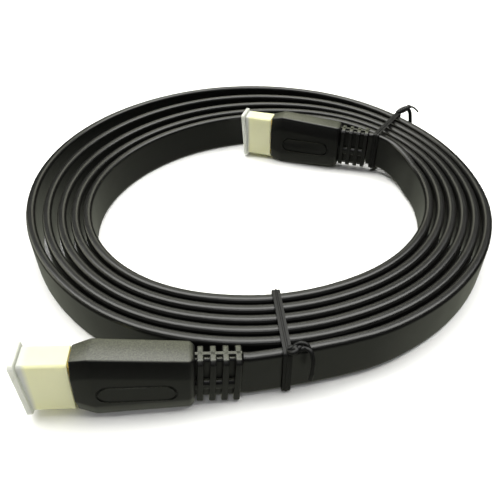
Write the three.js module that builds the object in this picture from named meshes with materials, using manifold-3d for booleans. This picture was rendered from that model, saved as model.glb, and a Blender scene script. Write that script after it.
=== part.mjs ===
// Flat video cable, wound on edge into a flat coil, with a capped plug on each end and two twist ties.
// Millimetres, +Z up. The coil stands on the narrow edge of its ribbon, and each plug on its narrow side.
import * as THREE from "three";
import { mergeVertices } from "three/addons/utils/BufferGeometryUtils.js";
import Module from "manifold-3d";

const wasm = await Module();
wasm.setup();

// Clearances
const CONTACT_GAP = 0.3; // between pieces that touch on the real cable
const TURN_GAP = 0.75; // between neighbouring turns where nothing spreads them

// Ribbon
const CABLE_WIDTH = 13.2;
const CABLE_THICKNESS = 2.8;
const CABLE_CORNER = 0.8;

// Coil: a circle made slightly oval, whose turns spread where no tie holds them
const COIL_RADIUS = 54.3; // centreline of the innermost turn
const COIL_SHIFT = [1.8, 1.1]; // how far the innermost turn sits from the coil's centre
const COIL_OVAL = [0.9, 2.1]; // how much longer it is along X and along the diagonal
const FIRST_TURN_ANGLE = 50; // degrees, where turn number zero begins
const LOOP_START_ANGLE = 8; // degrees, where the inner lead runs into the loop
const LOOP_END_ANGLE = -68; // degrees, where the loop runs out to the outer plug
const WHOLE_TURNS = 5;
const SLACK = { amount: 0.95, angle: 112, spread: 115 };
const PINCH = { amount: 0.16, angle: 45, spread: 55 };
const POINTS_PER_TURN = 30;
const STEPS_PER_POINT = 2; // cross-sections of the ribbon to each point of its route

// Inner lead, between the inner plug and the loop: points chosen by hand
const INNER_LEAD = [
  { angle: 29.65, out: 0.16, height: 8.9 },
  { angle: 22.49, out: 0.31, height: 8.0 },
  { angle: 14.7, out: -0.17, height: 7.1 },
];

// Plug body, from its nose at x = 0 to its tail; width is upright, thickness is level
const BODY_LENGTH = 27.4;
const BODY_WIDTH = 19.5;
const BODY_THICKNESS = 9.3;
const NOSE_LENGTH = 4.4;
const NOSE_WIDTH = 16.9;
const NOSE_THICKNESS = 7.8;
const TAIL_WIDTH = 16.5;
const TAIL_THICKNESS = 9.1;
const SHOULDER_LENGTH = 1.0;
const SHOULDER_INSET = 1.1;
const CHAMFER_THICKNESS = 1.35; // how far the long chamfer reaches across the thickness
const CHAMFER_WIDTH = 4.6; // and down the width

// Strain relief: ribs on a core, with a bridge on each wide face
const RIB_COUNT = 4;
const RIB_LENGTH = 1.55;
const RIB_SPACING = 2.92;
const RIB_WIDTH = 14.8;
const RIB_THICKNESS = 6.0;
const RIB_CORNER = 0.9;
const FIRST_RIB_OFFSET = 0.4; // clear space between the tail and the first rib
const CORE_WALL = 0.45; // how far the core stands proud of the ribbon
const BRIDGE_WIDTH = 2.9;
const BRIDGE_THICKNESS = 5.7;
const BRIDGE_DROP = 1.3; // how far below the middle the bridge sits
const SPINE_THICKNESS = 1.0;

// Plug shell and its insert
const SHELL_WIDTH = 13.9;
const SHELL_THICKNESS = 4.45;
const SHELL_WALL = 0.35;
const SHELL_REACH = 9.9; // how far it stands out of the nose
const SHELL_DEPTH = 1.7; // how far it goes into the nose
const SHELL_SHOULDER = [2.1, 1.35]; // the sloped corners of its narrower side
const SLOT_WIDTH = 11.0;
const SLOT_THICKNESS = 1.3;
const SLOT_DEPTH = 7.0;
const INSERT_SETBACK = 0.6;

// Dust cap
const CAP_WALL_WIDTH = 0.75;
const CAP_WALL_THICKNESS = 0.65;
const CAP_CORNER = 0.5;
const FLANGE_THICKNESS = 1.3;
const FLANGE_WIDTH = 17.6;
const FLANGE_DEPTH = 7.9;
const FLANGE_CORNER = 0.6;
const FLANGE_LEAN = 4; // degrees, its top edge leans away from the body

// Where the plugs lie: the angle around the coil of the relief's end, its clear space from the turn
// beside it, and the heading of the tail
const OUTER_PLUG = { angle: -93.8, besideTurn: 4, side: 1, clear: 0.27, heading: 5 };
const INNER_PLUG = { angle: 38.16, besideTurn: 1, side: -1, clear: 2.8, heading: -17 };

// Twist ties
const STRAP_WIDTH = 2.1;
const STRAP_THICKNESS = 0.5;
const STRAP_BEND = 1.1;
const FRONT_TIE = {
  plane: { heading: -84.4, start: [-0.9, 0] },
  twist: { at: [-0.9, 2.3, 0.6], turn: -8, length: 4.6 },
  tails: [
    [
      [-0.6, 4.6, 0.7],
      [0.6, 5.5, 0.4],
      [1.9, 5.9, -1.6],
      [2.2, 5.7, -5.5],
      [2.0, 5.4, -8.6],
    ],
  ],
};
const BACK_TIE = {
  plane: { heading: 59.5, pastRelief: 2.94 },
  twist: { at: [2.6, -1.2, 0.6], turn: -115.5, length: 7.4 },
  tails: [
    [
      [5.0, -2.4, 0.8],
      [6.4, -3.6, 0.9],
      [7.0, -5.2, 0.0],
      [7.2, -6.6, -1.2],
    ],
    [
      [4.2, -2.0, 0.7],
      [4.5, -3.5, -0.6],
      [4.3, -4.4, -3.6],
      [4.1, -4.9, -6.4],
    ],
  ],
};
const LIFTED_ANGLES = [-84, 41]; // degrees around the coil, where the straps pass under it
const TWIST_RADIUS = 0.95;
const TAIL_RADIUS = 0.5;
const LIFT_SPREAD = 50; // degrees of coil each way that a strap under the ribbon lifts
const LIFT_LEVEL = 1.3; // over 1 keeps it level where the strap is

const rad = THREE.MathUtils.degToRad;
const vec = (x, y, z) => new THREE.Vector3(x, y, z);

// Solids

function solid(geometry, matrix = new THREE.Matrix4()) {
  const g = geometry.clone();
  g.deleteAttribute("normal");
  g.deleteAttribute("uv");
  g.applyMatrix4(matrix);
  const merged = mergeVertices(g, 1e-4);
  const made = new wasm.Manifold(
    new wasm.Mesh({
      numProp: 3,
      vertProperties: merged.attributes.position.array,
      triVerts: new Uint32Array(merged.index.array),
    }),
  );
  return made;
}

function geometryOf(made) {
  const mesh = made.getMesh();
  const g = new THREE.BufferGeometry();
  g.setAttribute("position", new THREE.BufferAttribute(mesh.vertProperties, 3));
  g.setIndex(new THREE.BufferAttribute(mesh.triVerts, 1));
  g.computeVertexNormals();
  return g;
}

const joined = (first, ...rest) => rest.reduce((all, one) => all.add(one), first);

const along = (x, y, z) => new THREE.Matrix4().makeTranslation(x, y, z);

// A rectangle with cut corners, across Y (thickness) and Z (width)
function cutRectangle(thickness, width, cutY, cutZ) {
  const y = thickness / 2;
  const z = width / 2;
  return [
    [y, z - cutZ], [y - cutY, z], [-y + cutY, z], [-y, z - cutZ],
    [-y, -z + cutZ], [-y + cutY, -z], [y - cutY, -z], [y, -z + cutZ],
  ];
}

// A closed skin through rings of points
function skin(rings) {
  const count = rings[0].length;
  const position = rings.flatMap((ring) => ring.flatMap((p) => p.toArray()));
  const index = [];
  for (let s = 0; s + 1 < rings.length; s++)
    for (let i = 0; i < count; i++) {
      const a = s * count + i;
      const b = s * count + ((i + 1) % count);
      index.push(a, b, a + count, b, b + count, a + count);
    }
  const last = (rings.length - 1) * count;
  for (let i = 1; i + 1 < count; i++) index.push(0, i + 1, i, last, last + i, last + i + 1);
  const g = new THREE.BufferGeometry();
  g.setAttribute("position", new THREE.Float32BufferAttribute(position, 3));
  g.setIndex(index);
  return g;
}

// Cross-sections along X, each one a list of [y, z] points at its own x
const loft = (sections) => skin(sections.map(({ x, points }) => points.map(([y, z]) => vec(x, y, z))));

// A straight bar along X with one cross-section
const bar = (x0, x1, points) => loft([{ x: x0, points }, { x: x1, points }]);

const block = (x0, x1, thickness, width, dropZ = 0) =>
  bar(x0, x1, cutRectangle(thickness, width, thickness / 8, thickness / 8).map(([y, z]) => [y, z - dropZ]));

// Plug body with its strain relief

const reliefStart = BODY_LENGTH + FIRST_RIB_OFFSET;
const RELIEF_END = reliefStart + (RIB_COUNT - 1) * RIB_SPACING + RIB_LENGTH;
const CAP_MOUTH = -CONTACT_GAP;
const CAP_FLOOR = -(SHELL_REACH + CONTACT_GAP);

function shellOutline(grow) {
  const y = SHELL_THICKNESS / 2 + grow;
  const z = SHELL_WIDTH / 2 + grow;
  const [cutZ, cutY] = SHELL_SHOULDER;
  return [
    [y, z], [-y + cutY, z], [-y, z - cutZ + cutY], [-y, -z + cutZ - cutY], [-y + cutY, -z], [y, -z],
  ];
}

function plugBody() {
  const octagon = (thickness, width) =>
    cutRectangle(thickness, width, CHAMFER_THICKNESS, CHAMFER_WIDTH);
  const body = loft([
    { x: 0, points: octagon(NOSE_THICKNESS, NOSE_WIDTH) },
    { x: NOSE_LENGTH, points: octagon(BODY_THICKNESS, BODY_WIDTH) },
    { x: BODY_LENGTH - SHOULDER_LENGTH, points: octagon(TAIL_THICKNESS, TAIL_WIDTH) },
    { x: BODY_LENGTH, points: octagon(TAIL_THICKNESS - 2 * SHOULDER_INSET, TAIL_WIDTH - SHOULDER_INSET) },
  ]);
  const overlap = SHOULDER_LENGTH; // how far the relief's core runs back into the body
  const core = block(
    BODY_LENGTH - overlap,
    RELIEF_END,
    CABLE_THICKNESS + 2 * CORE_WALL,
    CABLE_WIDTH + 2 * CORE_WALL,
  );
  const bridge = block(BODY_LENGTH - overlap, RELIEF_END, BRIDGE_THICKNESS, BRIDGE_WIDTH, BRIDGE_DROP);
  const spine = block(BODY_LENGTH - overlap, RELIEF_END, SPINE_THICKNESS, RIB_WIDTH);
  const ribs = Array.from({ length: RIB_COUNT }, (_, i) => {
    const x = reliefStart + i * RIB_SPACING;
    return bar(x, x + RIB_LENGTH, cutRectangle(RIB_THICKNESS, RIB_WIDTH, RIB_CORNER, RIB_CORNER));
  });
  const pocket = bar(-1, SHELL_DEPTH + CONTACT_GAP, shellOutline(CONTACT_GAP));
  return geometryOf(
    joined(solid(body), solid(core), solid(bridge), solid(spine), ...ribs.map((r) => solid(r)))
      .subtract(solid(pocket)),
  );
}

function plugShell() {
  const outside = bar(-SHELL_REACH, SHELL_DEPTH, shellOutline(0));
  const inside = bar(-SHELL_REACH - 1, SHELL_DEPTH + 1, shellOutline(-SHELL_WALL));
  return geometryOf(solid(outside).subtract(solid(inside)));
}

function plugInsert() {
  const front = -SHELL_REACH + INSERT_SETBACK;
  const carrier = bar(front, SHELL_DEPTH, shellOutline(-SHELL_WALL - CONTACT_GAP));
  const slot = bar(front - 1, front + SLOT_DEPTH, cutRectangle(SLOT_THICKNESS, SLOT_WIDTH, 0.1, 0.1));
  return geometryOf(solid(carrier).subtract(solid(slot)));
}

function dustCap() {
  const cavity = { thickness: SHELL_THICKNESS + 2 * CONTACT_GAP, width: SHELL_WIDTH + 2 * CONTACT_GAP };
  const outer = {
    thickness: cavity.thickness + 2 * CAP_WALL_THICKNESS,
    width: cavity.width + 2 * CAP_WALL_WIDTH,
  };
  const sleeve = bar(
    CAP_FLOOR - FLANGE_THICKNESS / 2,
    CAP_MOUTH,
    cutRectangle(outer.thickness, outer.width, CAP_CORNER, CAP_CORNER),
  );
  const bore = bar(CAP_FLOOR, CAP_MOUTH + 1, cutRectangle(cavity.thickness, cavity.width, 0.2, 0.2));
  const plate = bar(
    -FLANGE_THICKNESS,
    0,
    cutRectangle(FLANGE_DEPTH, FLANGE_WIDTH, FLANGE_CORNER, FLANGE_CORNER),
  );
  const lean = along(CAP_FLOOR - CONTACT_GAP, 0, 0).multiply(
    new THREE.Matrix4().makeRotationY(rad(-FLANGE_LEAN)),
  );
  return geometryOf(solid(sleeve).add(solid(plate, lean)).subtract(solid(bore)));
}

// The coil's centreline

const bump = (angle, { angle: middle, spread }) => {
  const away = Math.abs(THREE.MathUtils.euclideanModulo(angle - middle + 180, 360) - 180);
  return away < spread ? (1 + Math.cos((Math.PI * away) / spread)) / 2 : 0;
};

// Radius at an angle in degrees, for a turn number that grows along the cable
function turnRadius(angle, turn) {
  const a = rad(angle);
  const base =
    COIL_RADIUS +
    COIL_SHIFT[0] * Math.cos(a) +
    COIL_SHIFT[1] * Math.sin(a) +
    COIL_OVAL[0] * Math.cos(2 * a) +
    COIL_OVAL[1] * Math.sin(2 * a);
  const spread = SLACK.amount * bump(angle, SLACK) - PINCH.amount * bump(angle, PINCH);
  return base + turn * (CABLE_THICKNESS + TURN_GAP) + spread * (turn * turn - turn);
}

const turnAt = (angle) => (FIRST_TURN_ANGLE - angle) / 360;
const lift = STRAP_THICKNESS + CONTACT_GAP;
const onEdge = (angle) => {
  const bumps = LIFTED_ANGLES.map((middle) => bump(angle, { angle: middle, spread: LIFT_SPREAD }));
  return CABLE_WIDTH / 2 + lift * Math.min(1, LIFT_LEVEL * Math.max(...bumps));
};

const polar = (angle, r, z) => vec(r * Math.cos(rad(angle)), r * Math.sin(rad(angle)), z);
const loopPoint = (angle) => polar(angle, turnRadius(angle, turnAt(angle)), onEdge(angle));
const leadPoint = ({ angle, out, height }) =>
  polar(angle, turnRadius(angle, turnAt(angle)) + out, height);

// Placing a plug beside a turn: its heading turns it level, and its tilt lays its tapered side flat
function plugGroup({ angle, besideTurn, side, clear, heading }, tilt) {
  const group = new THREE.Group();
  group.rotation.order = "ZYX";
  group.rotation.z = rad(heading);
  group.rotation.y = tilt;
  const fromTurn = (CABLE_THICKNESS + RIB_THICKNESS) / 2 + clear;
  const turn = turnAt(THREE.MathUtils.euclideanModulo(angle - FIRST_TURN_ANGLE, 360) + FIRST_TURN_ANGLE - 360);
  const end = polar(angle, turnRadius(angle, turn + besideTurn) + side * fromTurn, 0);
  const nose = end.sub(polar(heading, RELIEF_END * Math.cos(tilt), 0));
  const lowest = (x, width) => x * Math.sin(tilt) + (width / 2) * Math.cos(tilt);
  const height = Math.max(
    lowest(NOSE_LENGTH, BODY_WIDTH),
    lowest(BODY_LENGTH - SHOULDER_LENGTH, TAIL_WIDTH),
  );
  group.position.set(nose.x, nose.y, height);
  group.updateMatrixWorld(true);
  return group;
}

const taper = Math.atan2(
  (BODY_WIDTH - TAIL_WIDTH) / 2,
  BODY_LENGTH - SHOULDER_LENGTH - NOSE_LENGTH,
);
const outerPlug = plugGroup(OUTER_PLUG, taper);
const innerPlug = plugGroup(INNER_PLUG, 0);
const exitOf = (plug, ahead) => plug.localToWorld(vec(RELIEF_END + CONTACT_GAP + ahead, 0, 0));

function cableRoute() {
  const endAngle = LOOP_END_ANGLE - 360 * WHOLE_TURNS;
  const count = Math.round(((LOOP_START_ANGLE - endAngle) / 360) * POINTS_PER_TURN);
  const loop = Array.from({ length: count + 1 }, (_, i) =>
    loopPoint(LOOP_START_ANGLE + ((endAngle - LOOP_START_ANGLE) * i) / count),
  );
  const straight = 2.5; // both ends leave their plug in line with it
  return new THREE.CatmullRomCurve3(
    [
      exitOf(innerPlug, 0),
      exitOf(innerPlug, straight),
      ...INNER_LEAD.map(leadPoint),
      ...loop,
      exitOf(outerPlug, straight),
      exitOf(outerPlug, 0),
    ],
    false,
    "centripetal",
  );
}

const route = cableRoute();

// The ribbon stays upright along its route
function flatCable() {
  const section = cutRectangle(CABLE_THICKNESS, CABLE_WIDTH, CABLE_CORNER, CABLE_CORNER);
  const steps = (route.points.length - 1) * STEPS_PER_POINT;
  const rings = Array.from({ length: steps + 1 }, (_, i) => {
    const at = route.getPoint(i / steps);
    const ahead = route.getTangent(i / steps);
    const side = vec(0, 0, 1).cross(ahead).normalize();
    const up = ahead.clone().cross(side);
    return section.map(([y, z]) => at.clone().addScaledVector(side, y).addScaledVector(up, z));
  });
  return skin(rings);
}

// Twist ties: a strap around all the turns, its two ends twisted together on top

// The ring's corners run round it, and a bend at each one rounds it
function roundedRing(corners) {
  const outline = (grow, bend) => {
    const centre = corners[0].clone().add(corners[3]).divideScalar(2);
    const points = corners.map(({ x, y }) =>
      vec(x + grow * Math.sign(x - centre.x), y + grow * Math.sign(y - centre.y), 0),
    );
    const path = new THREE.Path();
    points.forEach((corner, i) => {
      const before = points[(i + points.length - 1) % points.length];
      const after = points[(i + 1) % points.length];
      const start = corner.clone().add(before.clone().sub(corner).setLength(bend));
      const end = corner.clone().add(after.clone().sub(corner).setLength(bend));
      if (i === 0) path.moveTo(start.x, start.y);
      else path.lineTo(start.x, start.y);
      path.quadraticCurveTo(corner.x, corner.y, end.x, end.y);
    });
    path.closePath();
    return path;
  };
  const shape = new THREE.Shape(outline(STRAP_THICKNESS, STRAP_BEND).getPoints(4));
  shape.holes.push(new THREE.Path(outline(0, STRAP_BEND - STRAP_THICKNESS).getPoints(4).reverse()));
  const g = new THREE.ExtrudeGeometry(shape, { depth: STRAP_WIDTH, bevelEnabled: false, curveSegments: 4 });
  g.translate(0, 0, -STRAP_WIDTH / 2);
  g.rotateX(Math.PI / 2);
  return g;
}

function tube(points, radius, steps) {
  const circle = new THREE.Shape();
  circle.absarc(0, 0, radius, 0, 2 * Math.PI);
  return new THREE.ExtrudeGeometry(circle, {
    steps,
    bevelEnabled: false,
    curveSegments: 8,
    extrudePath: new THREE.CatmullRomCurve3(points.map((p) => vec(...p))),
  });
}

// Where the route crosses an upright plane, as the distance out from its plan point, nearest first.
// Each crossing keeps the room that a strap in that plane needs beside the ribbon.
function crossings(from, heading) {
  const out = polar(heading, 1, 0);
  const across = vec(-out.y, out.x, 0);
  const points = route.getPoints(3000).map((p) => p.sub(from));
  const found = [];
  for (let i = 1; i < points.length; i++) {
    const [a, b] = [points[i - 1].dot(across), points[i].dot(across)];
    if (a * b > 0 || points[i].dot(out) < -CABLE_THICKNESS) continue;
    const step = points[i].clone().sub(points[i - 1]).setZ(0).normalize();
    const cosine = Math.abs(step.dot(across));
    const slant = (STRAP_WIDTH / 2) * Math.sqrt(1 / (cosine * cosine) - 1);
    found.push({
      distance: points[i].dot(out),
      top: points[i].z + CABLE_WIDTH / 2 + CONTACT_GAP,
      bottom: points[i].z - CABLE_WIDTH / 2 - CONTACT_GAP,
      room: (CABLE_THICKNESS / 2 + CONTACT_GAP) / cosine + slant,
    });
  }
  return found.sort((a, b) => a.distance - b.distance);
}

// The strap's parts are placed from its upper outer corner: X outwards, Y along the cable, Z up.
// Its bottom follows the first run where that is higher, and comes down before the second.
function twistTie(name, from, { plane, twist, tails }) {
  const crossed = crossings(from, plane.heading);
  const [first, second] = crossed;
  const last = crossed[crossed.length - 1];
  const x1 = last.distance + last.room;
  const corners = [
    vec(first.distance - first.room, Math.max(first.bottom, STRAP_THICKNESS), 0),
    vec(second.distance - second.room, STRAP_THICKNESS, 0),
    vec(x1, STRAP_THICKNESS, 0),
    vec(x1, last.top, 0),
    vec(first.distance - first.room, first.top, 0),
  ];
  const corner = along(x1, 0, last.top + STRAP_THICKNESS);
  const knot = new THREE.CapsuleGeometry(TWIST_RADIUS, twist.length - 2 * TWIST_RADIUS, 3, 8);
  const turned = new THREE.Matrix4().makeRotationZ(rad(twist.turn));
  const strap = joined(
    solid(roundedRing(corners)),
    solid(knot, corner.clone().multiply(along(...twist.at)).multiply(turned)),
    ...tails.map((tail) => solid(tube(tail, TAIL_RADIUS, 3 * tail.length), corner)),
  );
  const tie = piece(name, geometryOf(strap), tieBlack);
  tie.position.copy(from);
  tie.rotation.z = rad(plane.heading);
  return tie;
}

// Assembly

const jacketBlack = { color: 0x17181a, roughness: 0.42, metalness: 0 };
const mouldedBlack = { color: 0x1f2022, roughness: 0.55, metalness: 0 };
const goldPlate = { color: 0xd9b25a, roughness: 0.28, metalness: 1 };
const carrierBlack = { color: 0x101010, roughness: 0.6, metalness: 0 };
const milkyCap = { color: 0xe9eadf, roughness: 0.35, metalness: 0 };
const tieBlack = { color: 0x141414, roughness: 0.5, metalness: 0 };

function piece(name, geometry, finish) {
  const mesh = new THREE.Mesh(geometry, new THREE.MeshStandardMaterial(finish));
  mesh.name = name;
  return mesh;
}

const coil = new THREE.Group();
coil.add(piece("flat_cable", flatCable(), jacketBlack));

for (const [side, plug] of [["outer", outerPlug], ["inner", innerPlug]]) {
  plug.add(
    piece(side + "_plug_body", plugBody(), mouldedBlack),
    piece(side + "_plug_shell", plugShell(), goldPlate),
    piece(side + "_plug_insert", plugInsert(), carrierBlack),
    piece(side + "_dust_cap", dustCap(), milkyCap),
  );
  coil.add(plug);
}

const pastRelief = exitOf(innerPlug, BACK_TIE.plane.pastRelief).setZ(0);
coil.add(
  twistTie("front_tie", vec(...FRONT_TIE.plane.start, 0), FRONT_TIE),
  twistTie("back_tie", pastRelief, BACK_TIE),
);

// The origin is under the middle of the whole cable, on the surface that it lies on
const box = new THREE.Box3().setFromObject(coil, true);
const middle = box.getCenter(new THREE.Vector3());
coil.position.set(-middle.x, -middle.y, -box.min.z);

const cable = new THREE.Group();
cable.add(coil);

export default cable;
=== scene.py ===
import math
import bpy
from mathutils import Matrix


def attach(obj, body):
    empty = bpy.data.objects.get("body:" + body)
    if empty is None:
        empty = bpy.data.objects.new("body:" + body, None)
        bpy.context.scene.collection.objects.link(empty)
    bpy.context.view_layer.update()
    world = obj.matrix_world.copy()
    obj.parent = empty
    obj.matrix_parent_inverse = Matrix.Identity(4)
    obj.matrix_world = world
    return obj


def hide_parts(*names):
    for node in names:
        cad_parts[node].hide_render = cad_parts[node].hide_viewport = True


bl_info = {
    "name": "Wound flat video cable",
    "version": (1, 0, 0),
    "blender": (4, 5, 0),
    "location": "View3D > Sidebar > Cable",
    "description": "A flat ribbon cable wound on edge, tied twice, with a capped plug on each end",
    "category": "Object",
}

import bmesh
import bpy
from bpy.props import FloatProperty, FloatVectorProperty, IntProperty, PointerProperty
from mathutils import Matrix, Vector

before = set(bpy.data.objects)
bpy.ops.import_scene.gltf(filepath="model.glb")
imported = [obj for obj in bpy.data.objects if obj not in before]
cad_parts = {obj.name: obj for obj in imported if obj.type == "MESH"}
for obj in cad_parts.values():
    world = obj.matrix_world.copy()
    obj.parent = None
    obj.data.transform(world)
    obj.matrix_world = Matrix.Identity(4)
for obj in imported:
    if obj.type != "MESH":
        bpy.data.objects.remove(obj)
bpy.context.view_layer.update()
MM = 0.001

# The wound route, as the solids have it: millimetres and degrees about the middle of the coil
COIL_MIDDLE = Vector((0.6313, -4.2418, 0.0097)) * MM
COIL_RADIUS = 54.3
COIL_SHIFT = (1.8, 1.1)
COIL_OVAL = (0.9, 2.1)
TURN_PITCH = 3.55
FIRST_TURN_ANGLE = 50
LOOP_ANGLES = (8, -68 - 5 * 360)
POINTS_PER_TURN = 30
SLACK = (0.95, 112, 115)
PINCH = (0.16, 45, 55)
LIFTED_ANGLES = (-84, 41)
LIFT_SPREAD = 50
LIFT = 0.8
INNER_LEAD = ((29.65, 0.16, 8.9), (22.49, 0.31, 8.0), (14.7, -0.17, 7.1))
EDGE_HEIGHT = 6.6
LIFT_LEVEL = 1.3
EXIT_GAP = 0.3
STRAIGHT_LEAD = 2.8
STEPS_PER_POINT = 4

# The plug and its cap: millimetres from the plug's nose, with its cable along +X.
# A section is its thickness, its width, how far its corners are cut off each, and its drop.
BODY_CUT = (1.35, 4.6)
NOSE_FACE = (7.8, 16.9)
WIDEST_AT = 4.4
TAIL_FACE = (9.1, 16.5)
TAIL_BEVEL = 1
TAIL_DRAWN_IN = (2.2, 1.1)
GROOVE_MIDDLE = (14.3, -0.9)
GROOVE_SIZE = (17.8, 5.2)
RELIEF_END = 38.11
CORE_SECTION = (3.0, 13.3, 0.5, 0.5)
CORE_EDGE = 0.2
BRIDGE_SECTION = (5.7, 2.9, 0.6, 0.6, 1.3)
BRIDGE_EDGE = 0.25
SPINE_SECTION = (1.0, 14.8, 0.12, 0.12)
FIRST_RIB_OFFSET = 0.4
RIB_SECTION = (6.0, 14.8, 0.9, 0.9)
RIB_EDGE = 0.32
CAP_INSIDE = (5.05, 14.5)
CAP_FLOOR = -10.2
CAP_END_WALL = 0.65
CAP_GAP = 0.3
CAP_TRIM = 0.1
SLEEVE_CUT = (0.5, 0.5)
BORE_CUT = (0.3, 0.3)
FLANGE_SECTION = (7.9, 17.6, 0.6, 0.6)
FLANGE_THICKNESS = 1.3
FLANGE_SHIFT = 0.3
FLANGE_LEAN = -4
GOLD_EDGE = (-9.9, -8.8)

# Narrow faces take the spark finish from this upright share of their normal, and this steeply
SPARK_FROM = 0.75
SPARK_RISE = 5
SPARK_GRAIN = 2600
SHARP_ANGLE = 40

# The ties, in millimetres
RIBBON_HALF_WIDTH = 6.6
TIE_ROOM = 1.7
TIE_HALF_REACH = 0.9
STRAP_BEND = 0.9
STRAP_GAP = 0.25
STRAP_RISE = 0.55
TWIST_RISE = 0.8
FLOOR_GAP = 0.03
BACK_TIE_AHEAD = 3.24
STRAND_STEPS = 12
SOFT_STEPS = 8

# The strap's own section, in metres
STRAP_FLAT = 0.00013
STRAP_LIP = 0.00008


# Where things are

def bump(angle, middle, spread):
    away = abs((angle - middle + 180) % 360 - 180)
    return (1 + math.cos(math.pi * away / spread)) / 2 if away < spread else 0


def turn_radius(angle):
    a = math.radians(angle)
    turn = (FIRST_TURN_ANGLE - angle) / 360
    base = COIL_RADIUS + COIL_SHIFT[0] * math.cos(a) + COIL_SHIFT[1] * math.sin(a)
    base += COIL_OVAL[0] * math.cos(2 * a) + COIL_OVAL[1] * math.sin(2 * a)
    spread = SLACK[0] * bump(angle, *SLACK[1:]) - PINCH[0] * bump(angle, *PINCH[1:])
    return base + turn * TURN_PITCH + spread * (turn * turn - turn)


def polar(angle, radius, height):
    a = math.radians(angle)
    return COIL_MIDDLE + Vector((radius * math.cos(a), radius * math.sin(a), height)) * MM


def loop_point(angle):
    near_lift = max(bump(angle, middle, LIFT_SPREAD) for middle in LIFTED_ANGLES)
    raised = min(1, LIFT_LEVEL * near_lift)
    return polar(angle, turn_radius(angle), EDGE_HEIGHT + LIFT * raised)


def plug_place(nose, heading, tilt):
    """The matrix from a plug's own frame, with its nose at zero and its cable along +X."""
    turned = Matrix.Rotation(math.radians(heading), 4, "Z") @ Matrix.Rotation(tilt, 4, "Y")
    return Matrix.Translation(Vector(nose) * MM) @ turned


# The outer plug lies on its tapered narrow side, so it leans by that taper
PLUGS = {
    "outer": plug_place((-42.0676, -80.1525, 10.0364), 5, math.atan2(1.5, 22.0)),
    "inner": plug_place((7.5259, 40.9562, 9.7597), -17, 0),
}


def exit_of(side, ahead=EXIT_GAP):
    return PLUGS[side] @ (Vector((RELIEF_END + ahead, 0, 0)) * MM)


def smooth_route(points, steps):
    """A centripetal curve through the points, with so many steps between each two."""
    before = points[0] * 2 - points[1]
    after = points[-1] * 2 - points[-2]
    knots = [before, *points, after]
    route = []
    for p0, p1, p2, p3 in zip(knots, knots[1:], knots[2:], knots[3:]):
        d0, d1, d2 = ((b - a).length ** 0.5 for a, b in ((p0, p1), (p1, p2), (p2, p3)))
        m1 = ((p1 - p0) / d0 - (p2 - p0) / (d0 + d1) + (p2 - p1) / d1) * d1
        m2 = ((p2 - p1) / d1 - (p3 - p1) / (d1 + d2) + (p3 - p2) / d2) * d1
        for i in range(steps):
            t = i / steps
            cubic = (p1 - p2) * 2 + m1 + m2
            square = (p2 - p1) * 3 - m1 * 2 - m2
            route.append(p1 + m1 * t + square * t * t + cubic * t * t * t)
    return [*route, points[-1]]


def cable_route():
    first, last = LOOP_ANGLES
    count = round((first - last) / 360 * POINTS_PER_TURN)
    loop = [loop_point(first + (last - first) * i / count) for i in range(count + 1)]
    lead = [polar(a, turn_radius(a) + out, height) for a, out, height in INNER_LEAD]
    points = [exit_of("inner"), exit_of("inner", STRAIGHT_LEAD), *lead, *loop]
    points += [exit_of("outer", STRAIGHT_LEAD), exit_of("outer")]
    return smooth_route(points, STEPS_PER_POINT)


# Sizes and finishes that a user may change

class RibbonSizes(bpy.types.PropertyGroup):
    width: FloatProperty(
        name="Width", description="Across the flat side", default=0.0132, unit="LENGTH")
    thickness: FloatProperty(
        name="Thickness", description="Between the flat sides", default=0.0028, unit="LENGTH")
    corner: FloatProperty(
        name="Corner", description="Radius of the long edges", default=0.0011, unit="LENGTH")


class PlugSizes(bpy.types.PropertyGroup):
    length: FloatProperty(name="Length", description="Nose to tail", default=0.0274, unit="LENGTH")
    width: FloatProperty(
        name="Width", description="Across the wide face", default=0.0195, unit="LENGTH")
    thickness: FloatProperty(
        name="Thickness", description="Between the wide faces", default=0.0093, unit="LENGTH")
    edge: FloatProperty(
        name="Edge radius", description="Roundness of the moulded edges",
        default=0.00045, unit="LENGTH")
    groove: FloatProperty(
        name="Groove", description="Depth of the stadium groove", default=0.00035, unit="LENGTH")
    ribs: IntProperty(name="Ribs", description="Ribs on the strain relief", default=4)
    rib_length: FloatProperty(
        name="Rib length", description="Along the cable", default=0.00155, unit="LENGTH")
    rib_spacing: FloatProperty(
        name="Rib spacing", description="From rib to rib", default=0.00292, unit="LENGTH")


class CapSizes(bpy.types.PropertyGroup):
    wall: FloatProperty(
        name="Wall", description="Thickness of the sleeve", default=0.0007, unit="LENGTH")
    edge: FloatProperty(
        name="Edge radius", description="Roundness of its edges", default=0.0003, unit="LENGTH")


class TieSizes(bpy.types.PropertyGroup):
    strap_width: FloatProperty(
        name="Strap width", description="Across the flat strap", default=0.0021, unit="LENGTH")
    wire_size: FloatProperty(
        name="Wire", description="Thickness over the wire", default=0.0007, unit="LENGTH")


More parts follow.
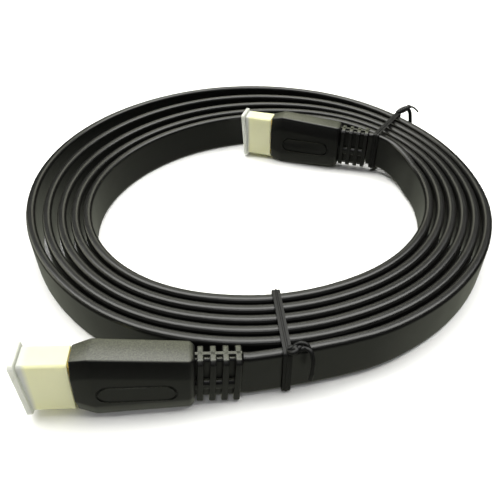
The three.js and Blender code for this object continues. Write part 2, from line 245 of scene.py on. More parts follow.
class Finishes(bpy.types.PropertyGroup):
    jacket: FloatVectorProperty(
        name="Jacket", description="Colour of the ribbon",
        subtype="COLOR", default=(0.0045, 0.0045, 0.0042))
    moulding: FloatVectorProperty(
        name="Moulding", description="Colour of the plugs",
        subtype="COLOR", default=(0.0035, 0.0035, 0.0033))
    spark: FloatVectorProperty(
        name="Spark finish", description="Colour of the plugs' narrow faces",
        subtype="COLOR", default=(0.041, 0.043, 0.029))
    gold: FloatVectorProperty(
        name="Gold", description="Colour of the plated shells",
        subtype="COLOR", default=(0.95, 0.73, 0.33))
    cap: FloatVectorProperty(
        name="Cap", description="Colour of the dust caps",
        subtype="COLOR", default=(0.52, 0.53, 0.49))
    cap_over_gold: FloatVectorProperty(
        name="Cap over gold", description="Colour of the caps over the shells",
        subtype="COLOR", default=(0.76, 0.75, 0.43))
    tie: FloatVectorProperty(
        name="Tie", description="Colour of the twist ties",
        subtype="COLOR", default=(0.0045, 0.0045, 0.0046))


# Materials

def group_socket(group, kind, name, direction, default=None):
    socket = group.interface.new_socket(name, in_out=direction, socket_type=kind)
    if default is not None:
        socket.default_value = default


def wire(tree, source, target):
    tree.links.new(source, target)


def moulded_grain():
    """Shader group: fine grain of moulded plastic, as a roughness and a normal."""
    name = "Moulded grain"
    if name in bpy.data.node_groups:
        return bpy.data.node_groups[name]
    group = bpy.data.node_groups.new(name, "ShaderNodeTree")
    group_socket(group, "NodeSocketFloat", "Grain scale", "INPUT", 4000)
    group_socket(group, "NodeSocketFloat", "Grain height", "INPUT", 0.2)
    group_socket(group, "NodeSocketFloat", "Smoothest", "INPUT", 0.35)
    group_socket(group, "NodeSocketFloat", "Roughest", "INPUT", 0.5)
    group_socket(group, "NodeSocketFloat", "Roughness", "OUTPUT")
    group_socket(group, "NodeSocketVector", "Normal", "OUTPUT")
    nodes = group.nodes
    given = nodes.new("NodeGroupInput")
    out = nodes.new("NodeGroupOutput")
    place = nodes.new("ShaderNodeTexCoord")
    grain = nodes.new("ShaderNodeTexNoise")
    grain.inputs["Detail"].default_value = 3
    wire(group, place.outputs["Object"], grain.inputs["Vector"])
    wire(group, given.outputs["Grain scale"], grain.inputs["Scale"])
    relief = nodes.new("ShaderNodeBump")
    relief.inputs["Distance"].default_value = 0.00002
    wire(group, given.outputs["Grain height"], relief.inputs["Strength"])
    wire(group, grain.outputs["Fac"], relief.inputs["Height"])
    wire(group, relief.outputs["Normal"], out.inputs["Normal"])
    cloud = nodes.new("ShaderNodeTexNoise")
    cloud.inputs["Scale"].default_value = 180
    cloud.inputs["Detail"].default_value = 4
    wire(group, place.outputs["Object"], cloud.inputs["Vector"])
    spread = nodes.new("ShaderNodeMapRange")
    wire(group, cloud.outputs["Fac"], spread.inputs["Value"])
    wire(group, given.outputs["Smoothest"], spread.inputs["To Min"])
    wire(group, given.outputs["Roughest"], spread.inputs["To Max"])
    wire(group, spread.outputs["Result"], out.inputs["Roughness"])
    return group


def plastic(name, colour, scale, height, smoothest, roughest, **settings):
    """A plastic with the moulded grain. settings are the shader's own sockets by name."""
    material = bpy.data.materials.new(name)
    material.use_nodes = True
    tree = material.node_tree
    shader = tree.nodes["Principled BSDF"]
    shader.inputs["Base Color"].default_value = (*colour, 1)
    for socket, value in settings.items():
        shader.inputs[socket.replace("_", " ")].default_value = value
    grain = tree.nodes.new("ShaderNodeGroup")
    grain.node_tree = moulded_grain()
    grain.inputs["Grain scale"].default_value = scale
    grain.inputs["Grain height"].default_value = height
    grain.inputs["Smoothest"].default_value = smoothest
    grain.inputs["Roughest"].default_value = roughest
    wire(tree, grain.outputs["Roughness"], shader.inputs["Roughness"])
    wire(tree, grain.outputs["Normal"], shader.inputs["Normal"])
    material.diffuse_color = (*colour, 1)
    return material


def speckled(material, colour, scale, contrast):
    """A colour broken up into fine light and dark speckles, as a node of the material."""
    tree = material.node_tree
    place = tree.nodes.new("ShaderNodeTexCoord")
    cells = tree.nodes.new("ShaderNodeTexNoise")
    cells.inputs["Scale"].default_value = scale
    cells.inputs["Detail"].default_value = 4
    cells.inputs["Roughness"].default_value = 0.7
    level = tree.nodes.new("ShaderNodeMapRange")
    levels = {"From Min": 0.35, "From Max": 0.65, "To Min": 1 - contrast, "To Max": 1 + contrast}
    for socket, value in levels.items():
        level.inputs[socket].default_value = value
    tinted = tree.nodes.new("ShaderNodeVectorMath")
    tinted.operation = "SCALE"
    tinted.inputs[0].default_value = colour
    wire(tree, place.outputs["Object"], cells.inputs["Vector"])
    wire(tree, cells.outputs["Fac"], level.inputs["Value"])
    wire(tree, level.outputs["Result"], tinted.inputs["Scale"])
    return tinted.outputs["Vector"]


def masked(material, attribute, plain, marked, low=0.0, high=1.0, speckle=0.0):
    """Let an attribute of the mesh carry the base colour from plain to marked."""
    tree = material.node_tree
    shader = tree.nodes["Principled BSDF"]
    own = tree.nodes.new("ShaderNodeAttribute")
    own.attribute_name = attribute
    mask = tree.nodes.new("ShaderNodeMapRange")
    mask.inputs["From Min"].default_value = low
    mask.inputs["From Max"].default_value = high
    mix = tree.nodes.new("ShaderNodeMix")
    mix.data_type = "RGBA"
    mix.inputs["A"].default_value = (*plain, 1)
    mix.inputs["B"].default_value = (*marked, 1)
    if speckle:
        wire(tree, speckled(material, marked, SPARK_GRAIN, speckle), mix.inputs["B"])
    wire(tree, own.outputs["Fac"], mask.inputs["Value"])
    wire(tree, mask.outputs["Result"], mix.inputs["Factor"])
    wire(tree, mix.outputs["Result"], shader.inputs["Base Color"])
    return material


def made_once(name, make):
    return bpy.data.materials.get(name) or make()


def jacket_material(finish):
    return made_once("Black jacket", lambda: plastic(
        "Black jacket", finish.jacket, 2500, 0.12, 0.26, 0.36, Specular_IOR_Level=0.5))


def moulding_material(finish):
    """Satin on the wide faces, and a coarser, paler spark finish on the narrow ones."""
    return made_once("Black moulding", lambda: masked(
        plastic("Black moulding", finish.moulding, 3200, 0.6, 0.32, 0.44, Specular_IOR_Level=0.5),
        "spark", finish.moulding, finish.spark, speckle=0.55))


def tie_material(finish):
    return made_once("Black tie", lambda: plastic(
        "Black tie", finish.tie, 6000, 0.15, 0.42, 0.55, Specular_IOR_Level=0.3))


def cap_material(finish):
    """Milky plastic, yellow where the gold shell lies behind it."""
    return made_once("Milky cap", lambda: masked(
        plastic("Milky cap", finish.cap, 1500, 0.1, 0.30, 0.42, IOR=1.4, Subsurface_Weight=0.7,
                Subsurface_Radius=(1, 1, 0.9), Subsurface_Scale=0.003),
        "along", finish.cap, finish.cap_over_gold, *GOLD_EDGE))


def gold_material(finish):
    return made_once("Gold plate", lambda: plastic(
        "Gold plate", finish.gold, 3000, 0.1, 0.20, 0.34, Metallic=1.0))


def carrier_material(finish):
    return made_once("Contact carrier", lambda: plastic(
        "Contact carrier", (0.02, 0.02, 0.02), 5000, 0.3, 0.45, 0.6))


# Shapes

def keep(obj, body, nodes):
    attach(obj, body)
    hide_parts(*nodes)


def new_object(name, data):
    obj = bpy.data.objects.new(name, data)
    bpy.context.scene.collection.objects.link(obj)
    return obj


def applied(obj, name):
    """The object with its modifiers made real, as a plain mesh under a new name."""
    graph = bpy.context.evaluated_depsgraph_get()
    graph.update()
    mesh = bpy.data.meshes.new_from_object(obj.evaluated_get(graph))
    bpy.data.objects.remove(obj)
    mesh.name = name
    return new_object(name, mesh)


def cut_rectangle(thickness, width, cut_y, cut_z, drop=0):
    """The (y, z) corners of a rectangle with its own corners cut off."""
    y, z = thickness / 2, width / 2
    corners = [
        (y, z - cut_z), (y - cut_y, z), (cut_y - y, z), (-y, z - cut_z),
        (-y, cut_z - z), (cut_y - y, -z), (y - cut_y, -z), (y, cut_z - z),
    ]
    return [(a, b - drop) for a, b in corners]


def skin(form, rings):
    """Faces from each ring of corners to the next."""
    for ring, after in zip(rings, rings[1:]):
        for i, corner in enumerate(ring):
            j = (i + 1) % len(ring)
            form.faces.new((corner, ring[j], after[j], after[i]))


def formed(form, name):
    mesh = bpy.data.meshes.new(name)
    form.to_mesh(mesh)
    form.free()
    return new_object(name, mesh)


def loft(name, sections):
    """A closed skin through (x, [(y, z), ...]) sections, in millimetres."""
    form = bmesh.new()
    rings = [[form.verts.new(Vector((x, y, z)) * MM) for y, z in points] for x, points in sections]
    skin(form, rings)
    form.faces.new(rings[0])
    form.faces.new(rings[-1])
    bmesh.ops.recalc_face_normals(form, faces=form.faces)
    return formed(form, name)


def bar(name, section, start, end):
    """A straight bar of one section along X, in millimetres."""
    return loft(name, [(x, cut_rectangle(*section)) for x in (start, end)])


def rounded(obj, radius, segments=3, least_angle=4):
    edge = obj.modifiers.new("Edge", "BEVEL")
    edge.width = radius
    edge.segments = segments
    edge.limit_method = "ANGLE"
    edge.angle_limit = math.radians(least_angle)
    return obj


def combined(obj, others, operation):
    for other in others:
        step = obj.modifiers.new(operation.title(), "BOOLEAN")
        step.operation = operation
        step.solver = "EXACT"
        step.object = other
    return obj


def finished(obj, place, material):
    """The piece in its place. Its spark attribute marks the faces along its own Z, the narrow ones."""
    spark = obj.data.attributes.new("spark", "FLOAT", "FACE")
    for face, value in zip(obj.data.polygons, spark.data):
        value.value = min(1, max(0, (abs(face.normal.z) - SPARK_FROM) * SPARK_RISE))
    obj.data.transform(place)
    obj.data.materials.clear()
    obj.data.materials.append(material)
    obj.data.shade_smooth()
    obj.data.set_sharp_from_angle(angle=math.radians(SHARP_ANGLE))
    return obj


# Geometry node trees

def node_tree(name, sockets):
    tree = bpy.data.node_groups.new(name, "GeometryNodeTree")
    group_socket(tree, "NodeSocketGeometry", "Geometry", "INPUT")
    for socket_name, kind, default in sockets:
        group_socket(tree, kind, socket_name, "INPUT", default)
    group_socket(tree, "NodeSocketGeometry", "Geometry", "OUTPUT")
    return tree


def end_tree(tree, given, geometry):
    """Every tree ends in plain geometry with its material."""
    real = tree.nodes.new("GeometryNodeRealizeInstances")
    dressed = tree.nodes.new("GeometryNodeSetMaterial")
    out = tree.nodes.new("NodeGroupOutput")
    wire(tree, geometry, real.inputs["Geometry"])
    wire(tree, real.outputs["Geometry"], dressed.inputs["Geometry"])
    wire(tree, given.outputs["Material"], dressed.inputs["Material"])
    wire(tree, dressed.outputs["Geometry"], out.inputs["Geometry"])


def swept_tree():
    """A section swept along a curve, kept upright, with its ends closed."""
    name = "Upright sweep"
    if name in bpy.data.node_groups:
        return bpy.data.node_groups[name]
    tree = node_tree(name, [
        ("Section", "NodeSocketObject", None),
        ("Material", "NodeSocketMaterial", None),
    ])
    nodes = tree.nodes
    given = nodes.new("NodeGroupInput")
    section = nodes.new("GeometryNodeObjectInfo")
    upright = nodes.new("GeometryNodeSetCurveNormal")
    upright.mode = "Z_UP"
    sweep = nodes.new("GeometryNodeCurveToMesh")
    sweep.inputs["Fill Caps"].default_value = True
    smooth = nodes.new("GeometryNodeSetShadeSmooth")
    wire(tree, given.outputs["Section"], section.inputs["Object"])
    wire(tree, given.outputs["Geometry"], upright.inputs["Curve"])
    wire(tree, upright.outputs["Curve"], sweep.inputs["Curve"])
    wire(tree, section.outputs["Geometry"], sweep.inputs["Profile Curve"])
    wire(tree, sweep.outputs["Mesh"], smooth.inputs["Geometry"])
    end_tree(tree, given, smooth.outputs["Geometry"])
    return tree


def rib_tree():
    """A rib repeated along the plug."""
    name = "Relief ribs"
    if name in bpy.data.node_groups:
        return bpy.data.node_groups[name]
    tree = node_tree(name, [
        ("Count", "NodeSocketInt", 4),
        ("Spacing", "NodeSocketFloat", 0.00292),
        ("Material", "NodeSocketMaterial", None),
    ])
    nodes = tree.nodes
    given = nodes.new("NodeGroupInput")
    step = nodes.new("ShaderNodeCombineXYZ")
    line = nodes.new("GeometryNodeMeshLine")
    ribs = nodes.new("GeometryNodeInstanceOnPoints")
    wire(tree, given.outputs["Spacing"], step.inputs["X"])
    wire(tree, given.outputs["Count"], line.inputs["Count"])
    wire(tree, step.outputs["Vector"], line.inputs["Offset"])
    wire(tree, line.outputs["Mesh"], ribs.inputs["Points"])
    wire(tree, given.outputs["Geometry"], ribs.inputs["Instance"])
    end_tree(tree, given, ribs.outputs["Instances"])
    return tree


def grown(obj, tree, name, **values):
    """The object with the tree run on it, as a plain mesh."""
    grower = obj.modifiers.new("Grow", "NODES")
    grower.node_group = tree
    sockets = {s.name: s.identifier for s in tree.interface.items_tree if s.in_out == "INPUT"}
    for socket, value in values.items():
        grower[sockets[socket]] = value
    return applied(obj, name)


def curve_through(name, points, closed=False):
    curve = bpy.data.curves.new(name, "CURVE")
    curve.dimensions = "3D"
    line = curve.splines.new("POLY")
    line.points.add(len(points) - 1)
    for point, at in zip(line.points, points):
        point.co = (*at, 1)
    line.use_cyclic_u = closed
    return new_object(name, curve)


def rounded_section(thickness, width, corner, steps=5, margin=0.12):
    """A closed section with round corners, and support points close to each corner."""
    points = []
    for sy, sz in ((1, 1), (-1, 1), (-1, -1), (1, -1)):
        centre = Vector((sy * (thickness / 2 - corner), sz * (width / 2 - corner)))
        start = {(1, 1): 0, (-1, 1): 90, (-1, -1): 180, (1, -1): 270}[(sy, sz)]
        arc = [start + 90 * i / steps for i in range(steps + 1)]
        turned = [Vector((math.cos(math.radians(a)), math.sin(math.radians(a)))) for a in arc]
        round_points = [centre + direction * corner for direction in turned]
        begun = math.radians(start)
        before = Vector((math.sin(begun), -math.cos(begun))) * margin * MM
        after = Vector((-math.cos(begun), -math.sin(begun))) * margin * MM
        points += [round_points[0] + before, *round_points, round_points[-1] + after]
    return [(p.x, p.y, 0) for p in points]


def round_section(radius, count=10):
    turned = [math.tau * i / count for i in range(count)]
    return [(radius * math.cos(a), radius * math.sin(a), 0) for a in turned]


def swept(name, points, section, material, closed=False):
    profile = curve_through(name + "_section", section, closed=True)
    path = curve_through(name + "_path", points, closed)
    piece = grown(path, swept_tree(), name, Section=profile, Material=material)
    bpy.data.objects.remove(profile)
    return piece


# The pieces

class CABLE_OT_wind_ribbon(bpy.types.Operator):
    """Wind the flat ribbon through all its turns"""

    bl_idname = "cable.wind_ribbon"
    bl_label = "Wind the ribbon"

    def execute(self, context):
        sizes = context.scene.ribbon_sizes
        route = cable_route()
        section = rounded_section(sizes.thickness, sizes.width, sizes.corner)
        ribbon = swept("ribbon", route, section, jacket_material(context.scene.finishes))
        keep(ribbon, "cable", ["flat_cable"])
        return {"FINISHED"}


def stadium_groove(name, face, lean, depth, thickness):
    """A round cord laid in a stadium on a wide face, to cut the groove with."""
    length, height = GROOVE_SIZE
    x0, z0 = GROOVE_MIDDLE
    r = height / 2
    straight = length / 2 - r
    points = []
    for middle, start in ((straight, -90), (-straight, 90)):
        for i in range(13):
            a = math.radians(start + 180 * i / 12)
            points.append((middle + r * math.cos(a), r * math.sin(a)))
    y = face * thickness / 2
    path = [Vector((x0 + x, y - face * x * math.tan(lean), z0 + z)) * MM for x, z in points]
    return swept(name, path, round_section(depth, 8), None, closed=True)


def plug_moulding(side, sizes, material):
    """The bevelled body, with the groove on both wide faces."""
    length, width, thickness = (v / MM for v in (sizes.length, sizes.width, sizes.thickness))
    tail_end = [size - less for size, less in zip(TAIL_FACE, TAIL_DRAWN_IN)]
    body = loft(side + "_shape", [
        (0, cut_rectangle(*NOSE_FACE, *BODY_CUT)),
        (WIDEST_AT, cut_rectangle(thickness, width, *BODY_CUT)),
        (length - TAIL_BEVEL, cut_rectangle(*TAIL_FACE, *BODY_CUT)),
        (length, cut_rectangle(*tail_end, *BODY_CUT)),
    ])
    rounded(body, sizes.edge)
    lean = math.atan2((thickness - TAIL_FACE[0]) / 2, length - (WIDEST_AT + TAIL_BEVEL))
    at_middle = thickness - 2 * math.tan(lean) * (GROOVE_MIDDLE[0] - WIDEST_AT)
    grooves = [
        stadium_groove(f"{side}_groove_{i}", face, lean, sizes.groove, at_middle)
        for i, face in enumerate((1, -1))
    ]
    combined(body, grooves, "DIFFERENCE")
    piece = applied(body, side + "_moulding")
    for groove in grooves:
        bpy.data.objects.remove(groove)
    return finished(piece, PLUGS[side], material)


def plug_relief(side, sizes, material):
    """The core, bridges and spine of the strain relief."""
    start = sizes.length / MM - TAIL_BEVEL
    core = bar(side + "_core", CORE_SECTION, start, RELIEF_END)
    rounded(core, CORE_EDGE * MM)
    bridge = bar(side + "_bridge", BRIDGE_SECTION, start, RELIEF_END)
    spine = bar(side + "_spine", SPINE_SECTION, start, RELIEF_END)
    rounded(bridge, BRIDGE_EDGE * MM)
    combined(core, [bridge, spine], "UNION")
    piece = applied(core, side + "_relief")
    bpy.data.objects.remove(bridge)
    bpy.data.objects.remove(spine)
    return finished(piece, PLUGS[side], material)


def plug_ribs(side, sizes, material):
    start = sizes.length / MM + FIRST_RIB_OFFSET
    rib = bar(side + "_rib", RIB_SECTION, start, start + sizes.rib_length / MM)
    rib = applied(rounded(rib, RIB_EDGE * MM), side + "_rib")
    piece = grown(
        rib, rib_tree(), side + "_ribs",
        Count=sizes.ribs, Spacing=sizes.rib_spacing, Material=material)
    return finished(piece, PLUGS[side], material)


class CABLE_OT_mould_plugs(bpy.types.Operator):
    """Mould both plug bodies with their strain reliefs, and finish their metal shells"""

    bl_idname = "cable.mould_plugs"
    bl_label = "Mould the plugs"

    def execute(self, context):
        sizes = context.scene.plug_sizes
        finish = context.scene.finishes
        for side in PLUGS:
            for make in (plug_moulding, plug_relief, plug_ribs):
                piece = make(side, sizes, moulding_material(finish))
                keep(piece, "cable", [side + "_plug_body"])
            for node, material in (("shell", gold_material), ("insert", carrier_material)):
                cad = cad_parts[f"{side}_plug_{node}"]
                cad.data.materials.clear()
                cad.data.materials.append(material(finish))
        return {"FINISHED"}


def dust_cap(side, sizes, material):
    """A sleeve closed at its far end by a leaning flange. Its along attribute is its own X."""
    wall = sizes.wall / MM
    outer = (CAP_INSIDE[0] + 2 * wall - CAP_TRIM, CAP_INSIDE[1] + 2 * wall + CAP_TRIM)
    sleeve = bar(side + "_sleeve", (*outer, *SLEEVE_CUT), CAP_FLOOR - CAP_END_WALL, -CAP_GAP)
    plate = bar(side + "_plate", FLANGE_SECTION, -FLANGE_THICKNESS, 0)
    lean = Matrix.Rotation(math.radians(FLANGE_LEAN), 4, "Y")
    plate.data.transform(Matrix.Translation(Vector((CAP_FLOOR - FLANGE_SHIFT, 0, 0)) * MM) @ lean)
    bore = bar(side + "_bore", (*CAP_INSIDE, *BORE_CUT), CAP_FLOOR, 1)
    combined(sleeve, [plate], "UNION")
    combined(sleeve, [bore], "DIFFERENCE")
    rounded(sleeve, sizes.edge, segments=2, least_angle=25)
    piece = applied(sleeve, side + "_cap")
    for tool in (plate, bore):
        bpy.data.objects.remove(tool)
    along = piece.data.attributes.new("along", "FLOAT", "POINT")
    for vertex, value in zip(piece.data.vertices, along.data):
        value.value = vertex.co.x / MM
    return finished(piece, PLUGS[side], material)


class CABLE_OT_fit_caps(bpy.types.Operator):
    """Fit a milky dust cap on each plug"""

    bl_idname = "cable.fit_caps"
    bl_label = "Fit the dust caps"

    def execute(self, context):
        for side in PLUGS:
            material = cap_material(context.scene.finishes)
            piece = dust_cap(side, context.scene.cap_sizes, material)
            keep(piece, side + "_cap", [side + "_dust_cap"])
        return {"FINISHED"}


# Each tie is drawn from the upper outer corner of its strap: X outwards, Y along the cable, Z up.
# Its crossings of the ribbon give the run of the strap, then come the twist and the loose ends,
# each end as the radius of its strand and the points that it passes.
TIES = {
    "front_tie": {
        "from": (-0.9, 0), "heading": -84.4, "inner": 50,
        "twist": ((-0.9, 0.1, 0.5), (-0.4, 4.2, 0.6)), "turns": 2, "strand": 0.55,
        "ends": [
            (0.55, [(-0.6, 3.8, 0.7), (0.5, 5.0, 0.6), (1.6, 5.6, -1.4), (2.0, 5.6, -5.2),
                    (1.8, 5.4, -8.1)]),
            (0.60, [(-0.4, 0.2, 0.0), (0.5, 0.9, 0.5), (0.2, 1.9, 0.9), (-0.6, 1.6, 0.9)]),
            (0.50, [(-1.2, 1.6, 0.9), (-1.3, 2.9, 1.6), (-0.9, 4.4, 1.3), (-0.2, 5.0, 0.4)]),
        ],
    },
    "back_tie": {
        "from": "relief", "heading": 59.5, "inner": -5,
        "twist": ((-0.6, 0.3, 0.2), (5.5, -2.6, 0.8)), "turns": 3, "strand": 0.72,
        "ends": [
            (0.36, [(5.2, -2.5, 0.8), (6.3, -3.6, 0.85), (6.9, -5.1, 0.0), (7.1, -6.4, -1.1)]),
            (0.75, [(4.4, -2.1, 0.7), (4.6, -3.4, -0.6), (4.35, -4.3, -3.4), (4.1, -4.8, -5.9)]),
            (0.80, [(4.6, -2.3, 0.5), (5.3, -2.3, 1.0), (5.7, -2.7, 0.8), (5.5, -3.0, 0.3)]),
        ],
    },
}


def strap_section(width, wire_radius):
    """A flat strap with a wire down its middle: X across its thickness, Y across its width."""
    half = width / 2
    points = [(STRAP_FLAT, half), (STRAP_FLAT, half - STRAP_LIP)]
    for i in range(9):
        a = math.radians(70 - 140 * i / 8)
        points.append((wire_radius * math.cos(a) * 0.9, wire_radius * math.sin(a)))
    points += [(STRAP_FLAT, STRAP_LIP - half), (STRAP_FLAT, -half)]
    return [(x, y, 0) for x, y in points] + [(-x, -y, 0) for x, y in points]


def tie_start(given):
    if given == "relief":
        at = exit_of("inner", BACK_TIE_AHEAD)
        return Vector((at.x, at.y, 0))
    return Vector((COIL_MIDDLE.x, COIL_MIDDLE.y, 0)) + Vector((*given, 0)) * MM


def tie_crossings(start, out, across, inner):
    """Where the cable passes the tie: how far out, how high, and how much room it takes."""
    route = [p - start for p in cable_route()]
    found = []
    for a, b in zip(route, route[1:]):
        da, db = a.dot(across), b.dot(across)
        if da * db > 0 or da == db or b.dot(out) < inner * MM:
            continue
        at = a.lerp(b, da / (da - db))
        cosine = abs((b - a).to_2d().normalized().dot(across.to_2d()))
        slant = TIE_HALF_REACH * MM * math.sqrt(max(0, 1 / cosine ** 2 - 1))
        found.append((at.dot(out), at.z, TIE_ROOM * MM / cosine + slant))
    return sorted(found)


def bound_strap(name, corners, sizes, material):
    """A strap bent round the corners, in the tie's own frame, its wire ridge outwards."""
    bend = STRAP_BEND * MM
    path = []
    for i, corner in enumerate(corners):
        before, after = corners[i - 1], corners[(i + 1) % len(corners)]
        start = corner + (before - corner).normalized() * bend
        end = corner + (after - corner).normalized() * bend
        for t in (step / 6 for step in range(7)):
            path.append(start.lerp(corner, t).lerp(corner.lerp(end, t), t))
    section = strap_section(sizes.strap_width, sizes.wire_size / 2)
    form = bmesh.new()
    rings = []
    for i, at in enumerate(path):
        ahead = path[(i + 1) % len(path)] - path[i - 1]
        ahead.normalize()
        side = ahead.cross(Vector((0, 1, 0))).normalized()
        rings.append([form.verts.new(at + side * x + Vector((0, y, 0))) for x, y, _ in section])
    skin(form, [*rings, rings[0]])
    bmesh.ops.recalc_face_normals(form, faces=form.faces)
    strap = formed(form, name)
    strap.data.materials.append(material)
    return strap


def soft_path(points):
    return smooth_route([Vector(p) * MM for p in points], SOFT_STEPS)


def wound_pair(ends, turns, spread):
    """Two strands wound round each other between two points, drawn together at both."""
    a, b = (Vector(p) * MM for p in ends)
    along = (b - a).normalized()
    side = along.cross(Vector((0, 0, 1))).normalized()
    up = side.cross(along)
    strands = []
    for start in (0, math.pi):
        strand = []
        for i in range(turns * STRAND_STEPS + 1):
            t = i / (turns * STRAND_STEPS)
            turn = start + 2 * math.pi * turns * t
            swell = spread * MM * math.sin(math.pi * min(1, max(0.15, t * 0.9 + 0.08)))
            strand.append(a.lerp(b, t) + (side * math.cos(turn) + up * math.sin(turn)) * swell)
        strands.append(strand)
    return strands


def twist_tie(name, tie, sizes, material):
    """The strap round all the turns that the tie crosses, with its twist and its loose ends."""
    start = tie_start(tie["from"])
    heading = math.radians(tie["heading"])
    out = Vector((math.cos(heading), math.sin(heading), 0))
    across = Vector((-out.y, out.x, 0))
    crossed = tie_crossings(start, out, across, tie["inner"])
    half = RIBBON_HALF_WIDTH * MM
    gap, rise = STRAP_GAP * MM, STRAP_RISE * MM
    far = crossed[-1][0] + crossed[-1][2]
    near = crossed[0][0] - crossed[0][2]
    second = crossed[1][0] - crossed[1][2]
    low = sizes.wire_size / 2 + FLOOR_GAP * MM
    corners = [
        Vector((near - gap, 0, max(crossed[0][1] - half - rise, low))),
        Vector((second - gap, 0, low)),
        Vector((far + gap, 0, low)),
        Vector((far + gap, 0, crossed[-1][1] + half + rise)),
        Vector((near - gap, 0, crossed[0][1] + half + rise)),
    ]
    pieces = [bound_strap(name + "_strap", corners, sizes, material)]
    corner = Vector((far, 0, crossed[-1][1] + half + TWIST_RISE * MM))
    strand = tie["strand"]
    wound = wound_pair(tie["twist"], tie["turns"], strand * 0.8)
    runs = [(path, round_section(strand * MM)) for path in wound]
    runs += [(soft_path(points), round_section(radius * MM)) for radius, points in tie["ends"]]
    for i, (points, section) in enumerate(runs):
        run = swept(f"{name}_run_{i}", points, section, material)
        run.data.transform(Matrix.Translation(corner))
        pieces.append(run)
    place = Matrix.Translation(start) @ Matrix.Rotation(heading, 4, "Z")
    form = bmesh.new()
    for piece in pieces:
        form.from_mesh(piece.data)
        bpy.data.objects.remove(piece)
    return finished(formed(form, name + "_bound"), place, material)


class CABLE_OT_bind_ties(bpy.types.Operator):
    """Bind the coil with its two twist ties"""

    bl_idname = "cable.bind_ties"
    bl_label = "Bind the twist ties"

    def execute(self, context):
        for name, tie in TIES.items():
            material = tie_material(context.scene.finishes)
            piece = twist_tie(name, tie, context.scene.tie_sizes, material)
            keep(piece, "cable", [name])
        return {"FINISHED"}


class CABLE_OT_free_cord(bpy.types.Operator):
    """Gather the inner plug's pieces and the ribbon's route run backwards, and leave everything where
    it is
    """

    bl_idname = "cable.free_cord"
    bl_label = "Let the cord run free"

    def execute(self, context):
        far = [context.scene.objects["inner_" + part] for part in ("moulding", "relief", "ribs", "cap")]
        far += [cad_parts["inner_plug_" + part] for part in ("shell", "insert")]
        cable_route()[::-1]
        return {"FINISHED"}


def studio_world():
    """White behind everything, and for reflections a dim floor that is paler towards the back."""
    world = bpy.data.worlds.new("Studio")
    world.use_nodes = True
    tree = world.node_tree
    place = tree.nodes.new("ShaderNodeTexCoord")
    split = tree.nodes.new("ShaderNodeSeparateXYZ")
    wire(tree, place.outputs["Generated"], split.inputs["Vector"])
    both = tree.nodes.new("ShaderNodeMath")
    both.operation = "MULTIPLY"
    fades = (("Z", (-0.60, -0.15, 0.6, 0.01)), ("Y", (-0.3, 0.6, 1.0, 1.4)))
    for i, (axis, values) in enumerate(fades):
        fade = tree.nodes.new("ShaderNodeMapRange")
        for socket, value in zip(("From Min", "From Max", "To Min", "To Max"), values):
            fade.inputs[socket].default_value = value
        wire(tree, split.outputs[axis], fade.inputs["Value"])
        wire(tree, fade.outputs["Result"], both.inputs[i])
    dim = tree.nodes["Background"]
    dim.inputs["Color"].default_value = (0.5, 0.52, 0.42, 1)
    wire(tree, both.outputs["Value"], dim.inputs["Strength"])
    white = tree.nodes.new("ShaderNodeBackground")
    white.inputs["Color"].default_value = (1, 1, 1, 1)
    path = tree.nodes.new("ShaderNodeLightPath")
    mix = tree.nodes.new("ShaderNodeMixShader")
    wire(tree, path.outputs["Is Camera Ray"], mix.inputs["Fac"])
    wire(tree, dim.outputs["Background"], mix.inputs[1])
    wire(tree, white.outputs["Background"], mix.inputs[2])
    wire(tree, mix.outputs["Shader"], tree.nodes["World Output"].inputs["Surface"])
    return world


class CABLE_OT_set_stage(bpy.types.Operator):
    """Set the pale floor, the soft lights, the studio world and the view transform"""

    bl_idname = "cable.set_stage"
    bl_label = "Set the stage"

    def execute(self, context):
        scene = context.scene
        reach = 0.8
        corners = [(sx * reach, sy * reach, 0) for sx, sy in ((-1, -1), (1, -1), (1, 1), (-1, 1))]
        mesh = bpy.data.meshes.new("floor")
        mesh.from_pydata(corners, [], [(0, 1, 2, 3)])
        floor = new_object("floor", mesh)
        pale = bpy.data.materials.new("Pale floor")
        pale.use_nodes = True
        shader = pale.node_tree.nodes["Principled BSDF"]
        shader.inputs["Base Color"].default_value = (0.92, 0.92, 0.92, 1)
        shader.inputs["Roughness"].default_value = 0.9
        shader.inputs["Specular IOR Level"].default_value = 0
        mesh.materials.append(pale)
        floor.visible_glossy = False
        # Each light's place in metres, its two sides, its watts and its colour. All face the coil.
        lights = (
            ("overhead", (0.0, 0.30, 1.3), (2.8, 1.1), 58, (1, 1, 0.96)),
            ("front", (0.0, -1.0, 1.6), (1.0, 0.5), 6, (1, 1, 1)),
            ("back", (0.0, 1.45, 0.95), (0.9, 0.7), 4, (1, 1, 0.80)),
            ("left", (-1.2, 0.35, 0.35), (0.7, 0.7), 4, (1, 1, 0.80)),
        )
        for name, at, (across, along), power, colour in lights:
            light = bpy.data.lights.new(name, "AREA")
            light.shape = "RECTANGLE"
            light.size = across
            light.size_y = along
            light.energy = power
            light.color = colour
            lamp = new_object(name, light)
            lamp.location = at
            lamp.rotation_euler = (Vector((0, 0, 0)) - Vector(at)).to_track_quat("-Z", "Y").to_euler()
        scene.world = studio_world()
        scene.view_settings.view_transform = "Standard"
        return {"FINISHED"}


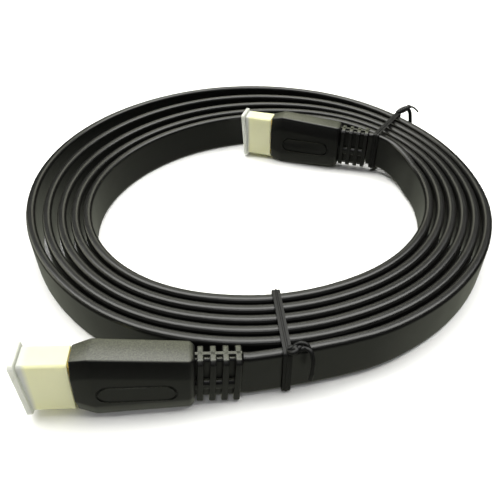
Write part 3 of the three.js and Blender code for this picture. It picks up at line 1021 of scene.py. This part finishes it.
class CABLE_OT_set_camera(bpy.types.Operator):
    """Stand the camera where the photograph was taken from"""

    bl_idname = "cable.set_camera"
    bl_label = "Set the camera"

    def execute(self, context):
        lens = bpy.data.cameras.new("camera")
        lens.sensor_width = 36
        lens.lens = 37.44
        lens.clip_start = 0.005
        camera = new_object("camera", lens)
        camera.location = Vector((-1.9, -154.1, 108.0)) * MM
        camera.rotation_euler = (math.radians(50.8), 0, 0)
        context.scene.camera = camera
        return {"FINISHED"}


STEPS = (
    CABLE_OT_set_camera,
    CABLE_OT_wind_ribbon,
    CABLE_OT_mould_plugs,
    CABLE_OT_fit_caps,
    CABLE_OT_bind_ties,
    CABLE_OT_free_cord,
    CABLE_OT_set_stage,
)
GROUPS = {
    "ribbon_sizes": RibbonSizes,
    "plug_sizes": PlugSizes,
    "cap_sizes": CapSizes,
    "tie_sizes": TieSizes,
    "finishes": Finishes,
}


class CABLE_PT_sidebar(bpy.types.Panel):
    """Lists the steps and their sizes"""

    bl_idname = "CABLE_PT_sidebar"
    bl_label = "Wound cable"
    bl_space_type = "VIEW_3D"
    bl_region_type = "UI"
    bl_category = "Cable"

    def draw(self, context):
        for step in STEPS:
            self.layout.operator(step.bl_idname)
        for name, group in GROUPS.items():
            column = self.layout.column(align=True)
            for size in group.__annotations__:
                column.prop(getattr(context.scene, name), size)


def register():
    for group in GROUPS.values():
        bpy.utils.register_class(group)
    for step in STEPS:
        bpy.utils.register_class(step)
    bpy.utils.register_class(CABLE_PT_sidebar)
    for name, group in GROUPS.items():
        setattr(bpy.types.Scene, name, PointerProperty(type=group))


def unregister():
    for name in GROUPS:
        delattr(bpy.types.Scene, name)
    bpy.utils.unregister_class(CABLE_PT_sidebar)
    for step in reversed(STEPS):
        bpy.utils.unregister_class(step)
    for group in reversed(list(GROUPS.values())):
        bpy.utils.unregister_class(group)


def main():
    register()
    for step in STEPS:
        family, name = step.bl_idname.split(".")
        getattr(getattr(bpy.ops, family), name)()


if __name__ == "__main__":
    main()
